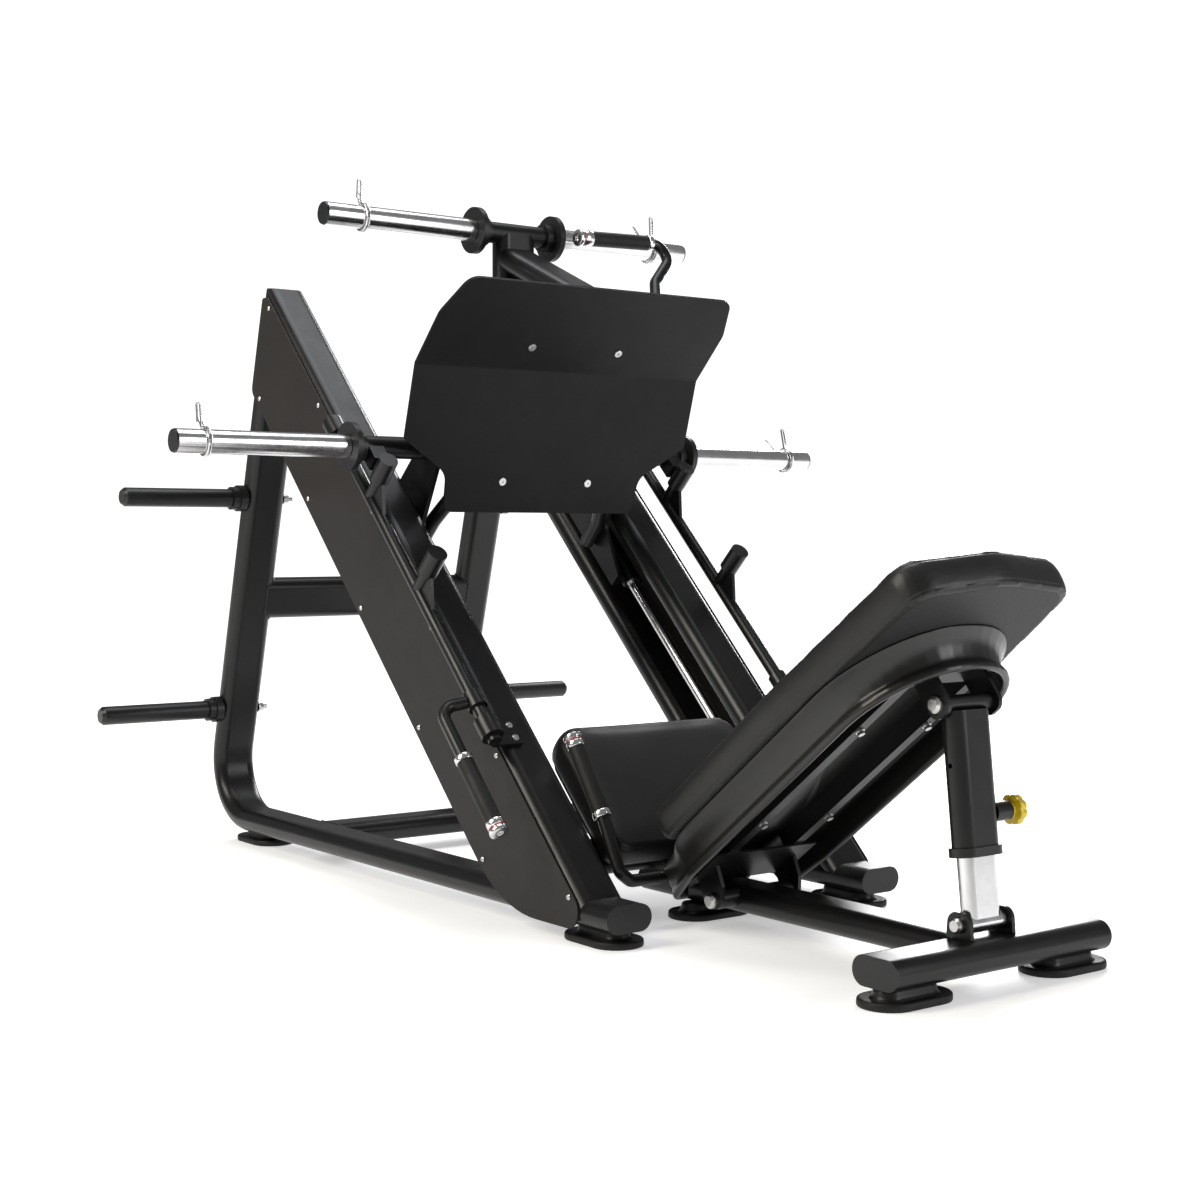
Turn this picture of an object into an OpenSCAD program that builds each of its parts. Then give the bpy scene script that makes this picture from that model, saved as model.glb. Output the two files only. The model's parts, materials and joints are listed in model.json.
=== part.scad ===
// Plate-loaded 45 degree leg press machine. Millimetres, +Z up, +X toward the front beam under
// the backrest, +Y toward the user's right. Origin on the floor at the centre of the outline.

/* [Frame] */
// Width of the flat-oval frame tube
tube_w = 104; // [90:1:120]
// Thickness of the flat-oval frame tube
tube_t = 52; // [40:1:60]
// Wall of the frame tube
tube_wall = 3; // [2:0.5:5]
// Distance of each side frame from the middle plane
side_y = 324; // [290:1:350]
// Centre radius of the big bend of the side frame
bend_r = 140; // [100:5:180]
// Depth of a rail, from the top face of the upper beam to the underside of the lower beam
rail_depth = 226; // [190:1:260]

/* [Carriage] */
// Diameter of the weight sleeves
sleeve_d = 50; // [48:0.5:51]
// Outer end of the side sleeves from the middle plane
side_sleeve_end = 856; // [780:1:900]
// Outer end of the crown sleeves from the middle plane
crown_sleeve_end = 489; // [430:1:540]
// Width of the footplate
plate_w = 758; // [600:1:800]
// Thickness of the footplate
plate_t = 6; // [4:0.5:10]
// Diameter of the chrome guide rods
rod_d = 25; // [20:1:30]

/* [Pads] */
// Width of the seat pad
seat_w = 460; // [380:5:480]
// Length of the seat pad
seat_len = 310; // [260:5:360]
// Thickness of the seat pad
seat_t = 70; // [50:1:90]
// Angle of the backrest above the floor
back_angle = 37.6; // [30:0.1:45]

/* [Hidden] */
$fn = 48;
base_z = 57;
cap_x = 519;
lean = 15.5;
apex_x = -826;
apex_z = 1316;
top_cut = 1350;
bend_x = -991;
top_n = 372.6;
upper_n = top_n - tube_t / 2;
lower_n = top_n - rail_depth + tube_t / 2;
guide_n = (upper_n + lower_n) / 2;
guide_y = 304;
cover_y = side_y + tube_w / 2 + 0.3;
cover_t = 3;
beam_x = 1093;
horn_s = -872;
horn_n = 473;
crown_s = -1260;
crown_n = 787;
fold_s = -889;
fold_n = 695;
stop_y = 405;
stop_n = 397;
bar_d = 48;
post_s = [-796, -521];
back_x = 506;
back_z = 91;
pivot_l = [-25, -17.5];
top_pin_l = [656.8, -20];
strut_x = 1080;
strut_z = 106;
strut_lean = 6.39;
strut_l = 372.2;
hinge_x = 496.9;
hinge_z = 61.9;
facet_turn = -28.5;
paint = [0.07, 0.07, 0.075];
chrome = [0.78, 0.78, 0.8];
rubber = [0.05, 0.05, 0.05];
vinyl = [0.1, 0.1, 0.11];
zinc = [0.6, 0.6, 0.62];

function unit(v) = v / norm(v);
function turn(a) = a > 180 ? a - 360 : a < -180 ? a + 360 : a;
// points of a rounded corner at p between neighbours a and b
function corner(a, p, b, r, n) =
  let (u = unit(a - p), v = unit(b - p), half = acos(u * v) / 2)
  let (c = p + unit(u + v) * r / sin(half), d = r / tan(half))
  let (p1 = p + u * d - c, p2 = p + v * d - c)
  let (a1 = atan2(p1[1], p1[0]), da = turn(atan2(p2[1], p2[0]) - a1))
  [for (i = [0 : n]) c + r * [cos(a1 + da * i / n), sin(a1 + da * i / n)]];
// outline with every corner rounded to its own radius
function rounded(p, r, n = 8) =
  let (m = len(p))
  [for (i = [0 : m - 1]) each corner(p[(i + m - 1) % m], p[i], p[(i + 1) % m], r[i], n)];

// centre line with its inner corners rounded to radius r
function arc3(a, p, b, r, n) =
  let (u = unit(a - p), v = unit(b - p), half = acos(u * v) / 2, d = r / tan(half))
  let (c = p + unit(u + v) * r / sin(half), w = 180 - 2 * half)
  let (e1 = unit(p + u * d - c), e2 = unit(p + v * d - c))
  [for (i = [0 : n]) c + r * (sin(w * (1 - i / n)) * e1 + sin(w * i / n) * e2) / sin(w)];
function bent(p, r, n = 10) =
  let (m = len(p))
  concat([p[0]], [for (i = [1 : m - 2]) each arc3(p[i - 1], p[i], p[i + 1], r, n)], [p[m - 1]]);
function tangents(p) =
  let (m = len(p))
  [for (i = [0 : m - 1]) unit(p[min(i + 1, m - 1)] - p[max(i - 1, 0)])];
function square_to(v, t) = unit(v - (v * t) * t);
function normals(t, i = 0, v = [0.13, 0.31, 0.94], out = []) =
  i == len(t) ? out
  : let (w = square_to(v, t[i])) normals(t, i + 1, w, concat(out, [w]));

// round bar of diameter d along a centre line, with n sides
module sweep(path, d, n) {
  t = tangents(path);
  u = normals(t);
  m = len(path);
  points = [for (i = [0 : m - 1], k = [0 : n - 1])
    path[i] + d / 2 * (cos(360 * k / n) * u[i] + sin(360 * k / n) * cross(t[i], u[i]))];
  sides = [for (i = [0 : m - 2], k = [0 : n - 1])
    [i * n + k, (i + 1) * n + k, (i + 1) * n + (k + 1) % n, i * n + (k + 1) % n]];
  first = [for (k = [0 : n - 1]) k];
  last = [for (k = [0 : n - 1]) (m - 1) * n + n - 1 - k];
  polyhedron(points, concat(sides, [first, last]), convexity = 6);
}

// the part and its mirror image across the middle plane
module both_sides() {
  children();
  mirror([0, 1, 0])
    children();
}

// one side of the middle plane: 1 is +Y, -1 is -Y
module on_side(side) {
  if (side > 0)
    children();
  else
    mirror([0, 1, 0])
      children();
}

// place something in the frame of the rails: s runs down the slope, n stands square to it
module rail(s, y, n) {
  rotate([0, 45, 0])
    translate([s, y, n])
      children();
}

// place something in the frame of the backrest
module back() {
  translate([back_x, 0, back_z])
    rotate([0, -back_angle, 0])
      children();
}

// place something in the frame of the backrest strut
module strut() {
  translate([strut_x, 0, strut_z])
    rotate([0, -strut_lean, 0])
      children();
}

module oval(w, t) {
  square([w - t, t], center = true);
  for (s = [-1, 1])
    translate([s * (w - t) / 2, 0])
      circle(d = t);
}

module bar_x(len, w, t) {
  rotate([90, 0, 90])
    linear_extrude(len)
      oval(w, t);
}

module bar_y(len, w, t) {
  rotate([90, 0, 0])
    linear_extrude(len, center = true)
      oval(w, t);
}

module cyl_y(y0, y1, d) {
  translate([0, y1, 0])
    rotate([90, 0, 0])
      cylinder(h = y1 - y0, d = d);
}

// flat plate in the XZ plane between y0 and y1
module plate_xz(points, y0, y1) {
  translate([0, y1, 0])
    rotate([90, 0, 0])
      linear_extrude(y1 - y0)
        polygon(points);
}

// button-head bolt along +Z with its seat at z = 0
module button_bolt(d, shank) {
  difference() {
    union() {
      cylinder(h = d * 0.25, d = d * 1.9);
      translate([0, 0, d * 0.25])
        cylinder(h = d * 0.35, d1 = d * 1.9, d2 = d * 1.1);
      translate([0, 0, -shank])
        cylinder(h = shank, d = d - 0.2);
    }
    translate([0, 0, d * 0.25])
      cylinder(h = d, d = d * 0.62, $fn = 6);
  }
}

// ---- side frames and rails ----

module upright(w, t) {
  translate([bend_x - bend_r * cos(lean), 0, base_z + bend_r + bend_r * sin(lean)])
    rotate([0, lean, 0])
      linear_extrude(1215)
        rotate(90)
          oval(w, t);
}

module side_path(w, t) {
  translate([bend_x, 0, base_z])
    bar_x(cap_x - bend_x, w, t);
  translate([bend_x, 0, base_z + bend_r])
    rotate([90, 0, 0])
      rotate([0, 0, 180 - lean])
        rotate_extrude(angle = 90 + lean)
          translate([bend_r, 0])
            rotate(90)
              oval(w - 0.8, t - 0.8);
  upright(w, t);
}

module above(z) {
  translate([-1300, -200, z])
    cube([1000, 400, 400]);
}

module mitre(side) {
  translate([apex_x, 0, apex_z])
    rotate([0, -(45 - lean) / 2, 0])
      translate([side > 0 ? 0 : -600, -200, side > 0 ? -120 : -900])
        cube([600, 400, side > 0 ? 400 : 1200]);
}

module side_frame(side) {
  color(paint)
    on_side(side)
      translate([0, side_y, 0])
        difference() {
          side_path(tube_w, tube_t);
          difference() {
            side_path(tube_w - 2 * tube_wall, tube_t - 2 * tube_wall);
            above(top_cut - 6);
          }
          mitre(1);
          above(top_cut);
        }
}

module rail_bar(s0, s1, n, w, t) {
  rail(s0, 0, n)
    bar_x(s1 - s0, w, t);
}

module base_cope() {
  translate([-400, 0, base_z])
    bar_x(1400, tube_w + 0.2, tube_t + 0.2);
  translate([-400, -200, -600])
    cube([1400, 400, 666]);
}

module upper_beam(side) {
  color(paint)
    on_side(side)
      translate([0, side_y, 0])
        difference() {
          rail_bar(-1640, 320, upper_n, tube_w, tube_t);
          difference() {
            rail_bar(-1640, 320, upper_n, tube_w - 2 * tube_wall, tube_t - 2 * tube_wall);
            above(top_cut - 6);
          }
          mitre(-1);
          above(top_cut);
          base_cope();
        }
}

module lower_beam(side) {
  color(paint)
    on_side(side)
      translate([0, side_y, 0])
        difference() {
          rail_bar(-1500, 160, lower_n, tube_w, tube_t);
          rail_bar(-1500, 160, lower_n, tube_w - 2 * tube_wall, tube_t - 2 * tube_wall);
          upright(tube_w + 0.2, tube_t + 0.2);
          translate([bend_x - bend_r * cos(lean), 0, base_z + bend_r + bend_r * sin(lean)])
            rotate([0, lean, 0])
              translate([-600, -200, -100])
                cube([600, 400, 1500]);
          base_cope();
        }
}

cover_points = [[-815, 1326], [-840, 1326], [-901, 1108], [180, 27], [484, 27]];
cover_radii = [10, 8, 26, 290, 34];
cover_bolt_upper = [for (i = [0 : 5]) [-805 + 242.5 * i, 1299 - 242.5 * i]];
cover_bolt_lower = [for (i = [0 : 4]) [-857 + 243 * i, 1089 - 243 * i]];

module side_cover(side) {
  color([0.13, 0.12, 0.12])
    on_side(side)
      difference() {
        plate_xz(rounded(cover_points, cover_radii, 10), cover_y, cover_y + cover_t);
        for (p = concat(cover_bolt_upper, cover_bolt_lower))
          translate([p[0], 0, p[1]])
            cyl_y(cover_y - 2, cover_y + 6, 6.2);
      }
}

module cover_bolts() {
  color(zinc)
    both_sides()
      for (p = concat(cover_bolt_upper, cover_bolt_lower))
        translate([p[0], cover_y + cover_t, p[1]])
          rotate([-90, 0, 0])
            button_bolt(6, cover_t);
}

// ---- cross members ----

module rear_cross_tube() {
  color(paint)
    difference() {
      translate([-1023, 0, 606])
        rotate([90, 0, 0])
          linear_extrude(2 * side_y, center = true)
            rotate(90 - lean)
              difference() {
                oval(tube_w, tube_t);
                oval(tube_w - 2 * tube_wall, tube_t - 2 * tube_wall);
              }
      both_sides()
        translate([0, side_y, 0])
          upright(tube_w + 0.2, tube_t + 0.2);
    }
}

module base_cross_tube() {
  color(paint)
    difference() {
      translate([-685, 0, base_z])
        rotate([90, 0, 0])
          linear_extrude(2 * side_y, center = true)
            difference() {
              oval(tube_w, tube_t);
              oval(tube_w - 2 * tube_wall, tube_t - 2 * tube_wall);
            }
      both_sides()
        translate([-900, side_y, base_z])
          bar_x(500, tube_w + 0.2, tube_t + 0.2);
    }
}

module front_beam() {
  color(paint)
    translate([beam_x, 0, base_z])
      rotate([90, 0, 0])
        linear_extrude(526, center = true)
          difference() {
            oval(tube_w, tube_t);
            oval(tube_w - 2 * tube_wall, tube_t - 2 * tube_wall);
          }
}

module spine_tube() {
  color(paint)
    difference() {
      translate([200, 0, base_z])
        bar_x(beam_x - 200, tube_w, tube_t);
      translate([190, 0, base_z])
        bar_x(beam_x - 190, tube_w - 2 * tube_wall, tube_t - 2 * tube_wall);
      translate([beam_x, 0, base_z])
        bar_y(400, tube_w + 0.2, tube_t + 0.2);
      translate([beam_x, -100, 0])
        cube([300, 200, 200]);
      translate([hinge_x, 0, hinge_z])
        cyl_y(-100, 100, 36.4);
    }
}

module tube_cap() {
  rotate([90, 0, 90]) {
    linear_extrude(3)
      oval(tube_w, tube_t);
    translate([0, 0, -14])
      linear_extrude(14)
        oval(tube_w - 2 * tube_wall - 0.2, tube_t - 2 * tube_wall - 0.2);
  }
}

module tube_end_caps() {
  color([0.1, 0.1, 0.1]) {
    both_sides() {
      translate([cap_x, side_y, base_z])
        tube_cap();
      translate([beam_x, 263, base_z])
        rotate([0, 0, 90])
          tube_cap();
    }
    translate([200, 0, base_z])
      rotate([0, 0, 180])
        tube_cap();
  }
}

// ---- feet ----

feet_x = [[-988, 306, 0], [435, 318, 0], [1093, 197, 90]];

module foot_pad() {
  linear_extrude(14)
    oval(180, 104);
  translate([0, 0, 14])
    linear_extrude(4)
      oval(160, 84);
}

module foot_pads() {
  color(rubber) {
    both_sides()
      for (f = feet_x)
        translate([f[0], f[1], 0])
          rotate(f[2])
            foot_pad();
    translate([362, 0, 0])
      rotate(90)
        foot_pad();
  }
}

module foot_stud() {
  translate([0, 0, 18])
    cylinder(h = 5, d = 46);
  translate([0, 0, 23])
    cylinder(h = base_z - tube_t / 2 - 23, d = 30);
}

module foot_studs() {
  color([0.12, 0.12, 0.12]) {
    both_sides()
      for (f = feet_x)
        translate([f[0], f[1], 0])
          foot_stud();
    translate([362, 0, 0])
      foot_stud();
  }
}

// ---- storage horns ----

horn_spots = [[-1099, 326], [-955, 852]];

module horn_tubes() {
  color([0.08, 0.08, 0.08])
    both_sides()
      for (p = horn_spots)
        translate([p[0], 0, p[1]]) {
          cyl_y(392.2, 413, 38);
          cyl_y(412, 680, 45);
          translate([0, 680, 0])
            rotate([-90, 0, 0])
              cylinder(h = 8, d1 = 45, d2 = 33);
        }
}

module storage_collars() {
  color([0.06, 0.06, 0.06])
    both_sides()
      for (p = horn_spots)
        translate([p[0], 0, p[1]])
          difference() {
            union() {
              cyl_y(side_y + tube_w / 2 + 0.2, 394, 64);
              cyl_y(394, 411, 56);
            }
            cyl_y(392, 420, 38.2);
          }
}

module storage_bolts() {
  color(zinc)
    both_sides()
      for (p = horn_spots)
        translate([p[0], 0, p[1]]) {
          cyl_y(268, side_y - tube_w / 2 - 0.2, 26);
          cyl_y(246, 268, 12);
          translate([0, 268, 0])
            rotate([90, 0, 0])
              cylinder(h = 11, d = 20, $fn = 6);
        }
}

module storage_horns() {
  horn_tubes();
  storage_collars();
}

// ---- guide rods ----

rod_s0 = -1424;
rod_s1 = 98;

module guide_rods() {
  color(chrome)
    both_sides()
      rail(rod_s0, guide_y, guide_n)
        rotate([0, 90, 0])
          cylinder(h = rod_s1 - rod_s0, d = rod_d);
}

module guide_rod_blocks() {
  color(paint)
    both_sides()
      for (s = [rod_s0, rod_s1 - 28])
        difference() {
          rail(s, guide_y - 26, guide_n - 28)
            cube([28, 52, upper_n - tube_t / 2 - guide_n + 28]);
          rail(s - 1, guide_y, guide_n)
            rotate([0, 90, 0])
              cylinder(h = 30, d = rod_d + 0.1);
          translate([0, side_y, 0])
            upright(tube_w + 0.4, tube_t + 0.4);
        }
}

module rod_bumpers() {
  color(rubber)
    both_sides()
      for (s = [rod_s0 + 28, rod_s1 - 28 - 24])
        rail(s, guide_y, guide_n)
          rotate([0, 90, 0])
            difference() {
              cylinder(h = 24, d = 46);
              translate([0, 0, -1])
                cylinder(h = 26, d = rod_d + 0.2);
            }
}

// ---- stop rods and their levers ----

module stop_shaft(side) {
  color([0.09, 0.09, 0.09])
    on_side(side) {
      rail(-1044, stop_y, stop_n)
        rotate([0, 90, 0])
          cylinder(h = 930, d = 28);
      rail(-236, stop_y, stop_n)
        rotate([0, 90, 0])
          cylinder(h = 36, d = 40);
    }
}

module stop_posts(side) {
  color([0.09, 0.09, 0.09])
    on_side(side)
      difference() {
        for (s = post_s) {
          rail(s, stop_y, stop_n + 5)
            cylinder(h = 55, d = 28);
          rail(s, stop_y, stop_n + 52)
            cylinder(h = 58, d = 42);
          rail(0, stop_y, 0)
            rotate([90, 0, 0])
              linear_extrude(8, center = true)
                polygon([[s + 10, stop_n + 8], [s + 74, stop_n + 8], [s + 18, stop_n + 58], [s + 10, stop_n + 58]]);
        }
        rail(-1044, stop_y, stop_n)
          rotate([0, 90, 0])
            cylinder(h = 930, d = 28.1);
      }
}

module stop_rod_brackets() {
  color(paint)
    both_sides()
      for (s = [-1034, -170])
        difference() {
          union() {
            rail(s, stop_y, stop_n)
              rotate([0, 90, 0])
                cylinder(h = 44, d = 46);
            rail(s - 8, 330, top_n + 0.1)
              cube([60, 72, 8]);
          }
          rail(s - 20, stop_y, stop_n)
            rotate([0, 90, 0])
              cylinder(h = 80, d = 28.12);
        }
}

module stop_bracket_bolts() {
  color(zinc)
    both_sides()
      for (s = [-1034, -170], d = [6, 38])
        rail(s + d, 342, top_n + 8.25)
          button_bolt(8, 0.1);
}

lever_path = [[-218, 424, 394], [-220, 478, 378], [78, 478, 374]];

module stop_lever(side) {
  color([0.09, 0.09, 0.09])
    on_side(side)
      rotate([0, 45, 0])
        sweep(bent(lever_path, 30), 25, 24);
}

module stop_grip(side) {
  color(rubber)
    on_side(side)
      rail(-84, 478, 376.2)
        rotate([0, 90.77, 0])
          difference() {
            cylinder(h = 140, d = 34);
            translate([0, 0, -1])
              cylinder(h = 160, d = 25.6);
          }
}

module stop_grip_rings(side) {
  color(chrome)
    on_side(side)
      rail(-84, 478, 376.2)
        rotate([0, 90.77, 0]) {
          translate([0, 0, -16])
            difference() {
              cylinder(h = 15.5, d = 36);
              translate([0, 0, -1])
                cylinder(h = 20, d = 25.6);
            }
          translate([0, 0, 140.5])
            difference() {
              cylinder(h = 28, d = 38);
              translate([0, 0, -1])
                cylinder(h = 24, d = 25.6);
            }
        }
}

module stop_rod(side) {
  stop_shaft(side);
  stop_lever(side);
}

module frame_bolts() {
  cover_bolts();
  stop_bracket_bolts();
  storage_bolts();
  strut_lower_pin();
}

module cross_tubes() {
  rear_cross_tube();
  base_cross_tube();
}

module rod_brackets() {
  stop_rod_brackets();
  guide_rod_blocks();
}

// ---- carriage ----

housing_s0 = -900;
housing_s1 = -656;

module carriage_bars() {
  color(paint) {
    rail(horn_s, 0, horn_n)
      cyl_y(-463, 463, bar_d);
    rail(crown_s, 0, crown_n)
      cyl_y(-112, 112, bar_d);
    both_sides()
      rail(horn_s, stop_y - 18, horn_n - 18)
        cube([54, 36, 36]);
  }
}

side_plate = [[-920, 250], [-660, 250], [-660, 284], [-780, 330], [-838, 516], [-906, 516]];

// plates at the ends of the cross bar with the ties that hold the bearing housings
module carriage_side_plates() {
  color(paint)
    both_sides()
      difference() {
        union() {
          rail(0, 0, 0)
            plate_xz(rounded(side_plate, [2, 2, 2, 20, 24, 24], 6), 248, 258);
          rail(housing_s0 + 10, 257, guide_n - 14)
            cube([housing_s1 - housing_s0 - 20, 23.8, 28]);
        }
        rail(horn_s, 0, horn_n)
          cyl_y(200, 300, bar_d + 0.2);
      }
}

// upright of the carriage with the two arms that carry the footplate, drawn inset for its hollow
module mast_tubes(inset) {
  w = tube_w - 2 * inset;
  t = tube_t - 2 * inset;
  translate([-335, 0, 950 + inset])
    linear_extrude(495 - 2 * inset)
      rotate(90)
        oval(w, t);
  translate([-330, 0, 1392])
    rotate([0, 23.7, 0])
      bar_x(335, w - 4, t);
  translate([-335, 0, 960])
    rotate([0, 15, 0])
      bar_x(145, w - 4, t);
}

module carriage_mast() {
  color(paint)
    difference() {
      mast_tubes(0);
      mast_tubes(tube_wall);
      rail(horn_s, 0, horn_n)
        cyl_y(-100, 100, bar_d + 0.2);
      rail(crown_s, 0, crown_n)
        cyl_y(-100, 100, bar_d + 0.2);
      rail(fold_s - 12, -200, 500)
        cube([400, 400, 600]);
      lower_facet(12)
        translate([0, -200, -400])
          cube([400, 400, 420]);
    }
}

// frame of the lower facet of the footplate: +X is its front, z runs up to the fold
module lower_facet(back) {
  rail(fold_s, 0, fold_n)
    rotate([0, facet_turn, 0])
      translate([-back, 0, 0])
        children();
}

rib_side = [[-897, 900], [-897.5, 697], [-761.5, 446], [-800, 440], [-905, 445], [-935, 500], [-925, 900]];

module plate_ribs() {
  color(paint)
    both_sides()
      difference() {
        rail(0, 0, 0)
          plate_xz(rib_side, 111, 121);
        rail(horn_s, 0, horn_n)
          cyl_y(90, 140, bar_d + 0.2);
      }
}

arm_path = [[-792, 121.3, 462], [-792, 192, 462], [-786, 226, 340], [-786, 230, 268]];

module carriage_arms() {
  color([0.08, 0.08, 0.08])
    both_sides()
      rotate([0, 45, 0])
        sweep(bent(arm_path, 34), 34, 24);
}

module bearing_housings() {
  color([0.1, 0.1, 0.1])
    both_sides()
      rail(housing_s0, guide_y, guide_n)
        rotate([0, 90, 0])
          difference() {
            cylinder(h = housing_s1 - housing_s0, d = 46);
            translate([0, 0, -1])
              cylinder(h = 400, d = 38);
          }
}

module linear_bearings() {
  color(zinc)
    both_sides()
      for (s = [housing_s0, housing_s1 - 60])
        rail(s, guide_y, guide_n)
          rotate([0, 90, 0])
            difference() {
              cylinder(h = 60, d = 37.98);
              translate([0, 0, -1])
                cylinder(h = 62, d = rod_d + 0.12);
            }
}

// side view of the bent sheet, in the frame of the rails
fold_dir = [-sin(facet_turn), -cos(facet_turn)];
fold_back = plate_t * [-cos(facet_turn), sin(facet_turn)];
fold_top = [fold_s, fold_n + 240];
fold_end = [fold_s, fold_n] + 340 * fold_dir;
fold_mid = [fold_s - plate_t, fold_n + plate_t * tan(facet_turn / 2)];
sheet = rounded([fold_top, [fold_s, fold_n], fold_end, fold_end + fold_back, fold_mid,
  fold_top - [plate_t, 0]], [0.5, 10, 0.5, 0.5, 16, 0.5], 8);
half_w = plate_w / 2;
upper_outline = [[-half_w, -60], [-half_w, 136], [34 - half_w, 232], [half_w - 34, 232],
  [half_w, 136], [half_w, -60]];
lower_outline = [[-half_w, 60], [-half_w, -162], [117 - half_w, -236], [124 - half_w, -321],
  [half_w - 124, -321], [half_w - 117, -236], [half_w, -162], [half_w, 60]];

module facet(outline, radii) {
  translate([-60, 0, 0])
    rotate([90, 0, 90])
      linear_extrude(120)
        polygon(rounded(outline, radii, 8));
}

module footplate() {
  color([0.05, 0.05, 0.06])
    difference() {
      intersection() {
        rail(0, 0, 0)
          plate_xz(sheet, -400, 400);
        union() {
          rail(fold_s, 0, fold_n)
            facet(upper_outline, [0.5, 60, 34, 34, 60, 0.5]);
          lower_facet(0)
            facet(lower_outline, [0.5, 14, 40, 22, 22, 40, 14, 0.5]);
        }
      }
      footplate_holes();
    }
}

bolt_y = 116;
upper_bolt = 64;
lower_bolt = -250;

module footplate_holes() {
  both_sides() {
    rail(fold_s, bolt_y, fold_n + upper_bolt)
      rotate([0, 90, 0])
        cylinder(h = 40, d = 8.6, center = true);
    lower_facet(0)
      translate([0, bolt_y, lower_bolt])
        rotate([0, 90, 0])
          cylinder(h = 40, d = 8.6, center = true);
  }
}

module flat_bolt(d, shank) {
  difference() {
    union() {
      cylinder(h = 2.2, d = d * 2.3);
      translate([0, 0, 2.2])
        cylinder(h = 0.8, d1 = d * 2.3, d2 = d * 2.1);
      translate([0, 0, -shank])
        cylinder(h = shank, d = d - 0.2);
    }
    translate([0, 0, 1])
      cylinder(h = d, d = d * 0.7, $fn = 6);
  }
}

module footplate_bolts() {
  color(zinc)
    both_sides() {
      rail(fold_s, bolt_y, fold_n + upper_bolt)
        rotate([0, 90, 0])
          flat_bolt(8, plate_t);
      lower_facet(0)
        translate([0, bolt_y, lower_bolt])
          rotate([0, 90, 0])
            flat_bolt(8, plate_t);
    }
}

module sleeve_tube(len) {
  rotate([-90, 0, 0])
    difference() {
      translate([0, 0, 0.2])
        cylinder(h = len - 4.2, d = sleeve_d);
      cylinder(h = len, d = sleeve_d - 6);
    }
}

module weight_sleeves() {
  color(chrome)
    both_sides() {
      rail(horn_s, 463, horn_n)
        sleeve_tube(side_sleeve_end - 463);
      rail(crown_s, 112, crown_n)
        sleeve_tube(crown_sleeve_end - 112);
    }
}

module sleeve_cap(len) {
  rotate([-90, 0, 0]) {
    translate([0, 0, len - 4])
      cylinder(h = 4, d1 = sleeve_d, d2 = sleeve_d - 3);
    translate([0, 0, len - 24])
      cylinder(h = 20, d = sleeve_d - 6.2);
  }
}

module sleeve_end_caps() {
  color([0.16, 0.16, 0.17])
    both_sides() {
      rail(horn_s, 463, horn_n)
        sleeve_cap(side_sleeve_end - 463);
      rail(crown_s, 112, crown_n)
        sleeve_cap(crown_sleeve_end - 112);
    }
}

module flange_at(y) {
  difference() {
    union() {
      cyl_y(y - 13, y, 104);
      cyl_y(y - 34, y - 13, 64);
    }
    cyl_y(y - 40, y + 5, bar_d + 0.2);
  }
}

module weight_flanges() {
  color([0.05, 0.05, 0.05])
    both_sides() {
      rail(horn_s, 0, horn_n)
        flange_at(462);
      rail(crown_s, 0, crown_n)
        flange_at(111);
    }
}

// wire of a clip: a hand loop leaning over, two turns round the sleeve, then an upright hand loop
clip_r = 29.2;
function clip_at(a, r, y) = [r * cos(a), y, r * sin(a)];
clip_path = concat(
  bent([clip_at(137, 37, -13.4), clip_at(137, 74, -18.4), clip_at(137, 74, -10.4),
    clip_at(137, clip_r, -5.4)], 3.9, 5),
  [for (i = [1 : 56]) clip_at(137 + 12 * i, clip_r, -5.4 + 10.8 * i / 57)],
  bent([clip_at(101, clip_r, 5.4), clip_at(101, 80, 3.4), clip_at(101, 80, 11.4), clip_at(101, 40, 13.4)], 3.9, 5));

module spring_clip() {
  color([0.8, 0.8, 0.82])
    sweep(clip_path, 4.6, 10);
}

module side_clip(side) {
  on_side(side)
    translate([(horn_s + horn_n) / sqrt(2), 786, (horn_n - horn_s) / sqrt(2)])
      spring_clip();
}

module crown_clip(side) {
  on_side(side)
    translate([(crown_s + crown_n) / sqrt(2), 392, (crown_n - crown_s) / sqrt(2)])
      rotate([0, 11, 0])
        spring_clip();
}

pull_path = [[-196, 106, 1432], [-196, 372, 1440.5], [-150, 266, 1340], [-62, 204, 1215]];

module carriage_handle() {
  color([0.08, 0.08, 0.08])
    sweep(bent(pull_path, 34), 25, 24);
}

module along_grip(at) {
  translate([-196, 106, 1432])
    rotate([-88.17, 0, 0])
      translate([0, 0, at])
        children();
}

module carriage_grip() {
  color(rubber)
    along_grip(12)
      difference() {
        cylinder(h = 158, d = 34);
        translate([0, 0, -1])
          cylinder(h = 170, d = 25.6);
      }
}

module carriage_grip_rings() {
  color(chrome) {
    along_grip(-26)
      difference() {
        cylinder(h = 37.5, d = 38);
        translate([0, 0, 8])
          cylinder(h = 40, d = 25.6);
        translate([0, 0, -1])
          cylinder(h = 4, d = 14);
      }
    along_grip(170.5)
      difference() {
        cylinder(h = 14, d = 36);
        translate([0, 0, -1])
          cylinder(h = 20, d = 25.6);
      }
  }
}

// ---- seat ----

module seat_outline(inset) {
  polygon(rounded([
    [-157 + inset, -seat_w / 2 + inset],
    [-157 + inset, seat_w / 2 - inset],
    [seat_len - 157 - inset, seat_w / 2 - inset],
    [seat_len - 157 - inset, -seat_w / 2 + inset]], [48, 48, 30, 30], 8));
}

module seat_pad() {
  color(vinyl)
    rail(0, 0, 379 - seat_t)
      linear_extrude(seat_t)
        seat_outline(0);
}

module seat_board() {
  color([0.2, 0.16, 0.12])
    rail(0, 0, 379 - seat_t - 12)
      linear_extrude(12)
        seat_outline(12);
}

cross_s = 86;
cross_n = 256;

module seat_cross_tube() {
  color(paint)
    rail(cross_s, 0, cross_n)
      rotate([90, 0, 0])
        linear_extrude(532, center = true)
          difference() {
            oval(80, 40);
            oval(74, 34);
          }
}

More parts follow.
